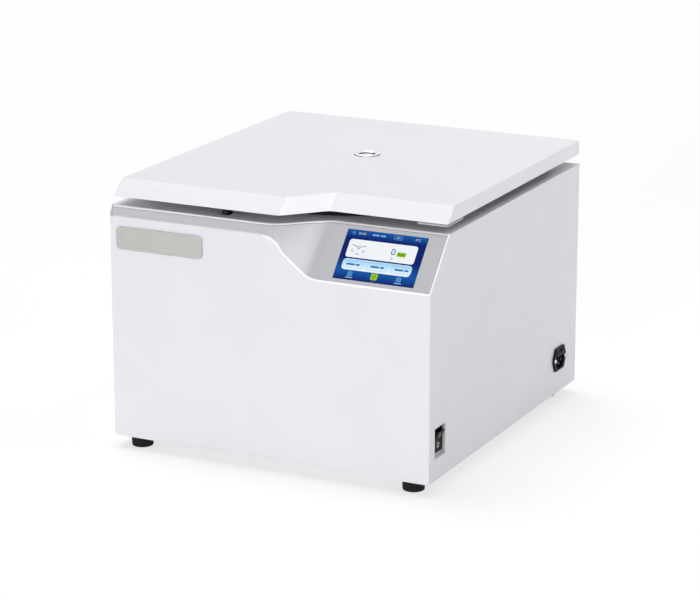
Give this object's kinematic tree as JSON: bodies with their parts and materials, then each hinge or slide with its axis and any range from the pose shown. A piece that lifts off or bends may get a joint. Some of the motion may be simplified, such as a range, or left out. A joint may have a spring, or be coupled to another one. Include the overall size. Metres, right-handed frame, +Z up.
{
  "type": "benchtop centrifuge",
  "caption": "Benchtop centrifuge with a sloped touch panel, a hinged locking lid and a swing-out rotor in a round steel chamber.",
  "frame": {"origin": "on the bench under the middle of the cabinet", "axes": "+Z up, -Y towards the user in front, +X towards the side with the mains switch"},
  "size_m": [0.4477, 0.4865, 0.3495],
  "materials": {
    "white_paint": "satin, fine powder coat",
    "lid_paint": "satin, fine powder coat",
    "grey_paint": "satin, fine powder coat",
    "deck_paint": "satin, fine powder coat",
    "silver_plate": "fine brushed",
    "bright_steel": "brushed",
    "dark_steel": "blackened",
    "iron_core": "varnished sheets",
    "aluminium": "satin, turned",
    "black_rubber": "matte",
    "black_plastic": "fine grain",
    "grey_plastic": "fine grain",
    "light_plastic": "smooth",
    "screen_glass": "polished",
    "clear_glass": "polished",
    "circuit_board": "lacquered",
    "cable_sheath": "matte"
  },
  "bodies": {
    "cabinet": {"cabinet_shell": "white_paint", "base_tray": "bright_steel", "rear_panel": "white_paint", "top_deck": "deck_paint", "control_bezel": "grey_paint", "foot_front_left": "black_rubber", "foot_front_right": "black_rubber", "foot_rear_left": "black_rubber", "foot_rear_right": "black_rubber", "name_plate": "silver_plate", "display_glass": "screen_glass", "display_module": "black_plastic", "control_board": "circuit_board", "chamber_bowl": "bright_steel", "chamber_seal": "black_rubber", "guard_ring": "dark_steel", "shaft_boot": "black_rubber", "motor_housing": "aluminium", "motor_stator": "iron_core", "upper_bearing": "bright_steel", "lower_bearing": "bright_steel", "damper_1": "black_rubber", "damper_2": "black_rubber", "damper_3": "black_rubber", "lock_body": "grey_plastic", "deck_hinge_left": "dark_steel", "deck_hinge_right": "dark_steel", "hinge_pin_left": "bright_steel", "hinge_pin_right": "bright_steel", "switch_pocket": "grey_plastic", "switch_frame": "black_plastic", "inlet_body": "black_plastic", "inlet_pin_line": "bright_steel", "inlet_pin_neutral": "bright_steel", "inlet_pin_earth": "bright_steel", "inlet_screw_front": "bright_steel", "inlet_screw_rear": "bright_steel", "drive_board": "circuit_board", "heat_sink": "aluminium", "mains_harness": "cable_sheath"},
    "lid": {"lid_cover": "lid_paint", "lid_liner": "bright_steel", "window_ring": "light_plastic", "window_pane": "clear_glass", "lid_corner_pad": "grey_plastic", "latch_hook": "dark_steel", "lid_hinge_left": "dark_steel", "lid_hinge_right": "dark_steel"},
    "rotor": {"motor_shaft": "bright_steel", "motor_armature": "iron_core", "rotor_head": "aluminium", "rotor_nut": "bright_steel"},
    "bucket_1": {"bucket_1": "aluminium"},
    "bucket_2": {"bucket_2": "aluminium"},
    "bucket_3": {"bucket_3": "aluminium"},
    "bucket_4": {"bucket_4": "aluminium"},
    "power_rocker": {"power_rocker": "black_plastic"},
    "fuse_drawer": {"fuse_drawer": "black_plastic", "fuse": "clear_glass"},
    "lock_bolt": {"lock_bolt": "bright_steel"}
  },
  "joints": [
    {"name": "lid_hinge", "type": "hinge", "parent": "cabinet", "child": "lid", "pos_m": [0, 0.233, 0.3235], "axis": [-1, 0, 0], "range_deg": [0, 70]},
    {"name": "rotor_spin", "type": "hinge", "parent": "cabinet", "child": "rotor", "pos_m": [0, 0.031, 0.2035], "axis": [0, 0, 1], "continuous": true},
    {"name": "bucket_1_swing", "type": "hinge", "parent": "rotor", "child": "bucket_1", "pos_m": [0.095, 0.031, 0.2395], "axis": [0, -1, 0], "range_deg": [0, 90]},
    {"name": "bucket_2_swing", "type": "hinge", "parent": "rotor", "child": "bucket_2", "pos_m": [0, 0.126, 0.2395], "axis": [1, 0, 0], "range_deg": [0, 90]},
    {"name": "bucket_3_swing", "type": "hinge", "parent": "rotor", "child": "bucket_3", "pos_m": [-0.095, 0.031, 0.2395], "axis": [0, 1, 0], "range_deg": [0, 90]},
    {"name": "bucket_4_swing", "type": "hinge", "parent": "rotor", "child": "bucket_4", "pos_m": [0, -0.064, 0.2395], "axis": [-1, 0, 0], "range_deg": [0, 90]},
    {"name": "rocker_tilt", "type": "hinge", "parent": "cabinet", "child": "power_rocker", "pos_m": [0.2138, -0.2062, 0.0649], "axis": [0, 1, 0], "range_deg": [-20, 0]},
    {"name": "fuse_drawer_slide", "type": "slide", "parent": "cabinet", "child": "fuse_drawer", "axis": [1, 0, 0], "range_m": [0, 0.016]},
    {"name": "lock_bolt_slide", "type": "slide", "parent": "cabinet", "child": "lock_bolt", "axis": [1, 0, 0], "range_m": [0, 0.009]}
  ]
}
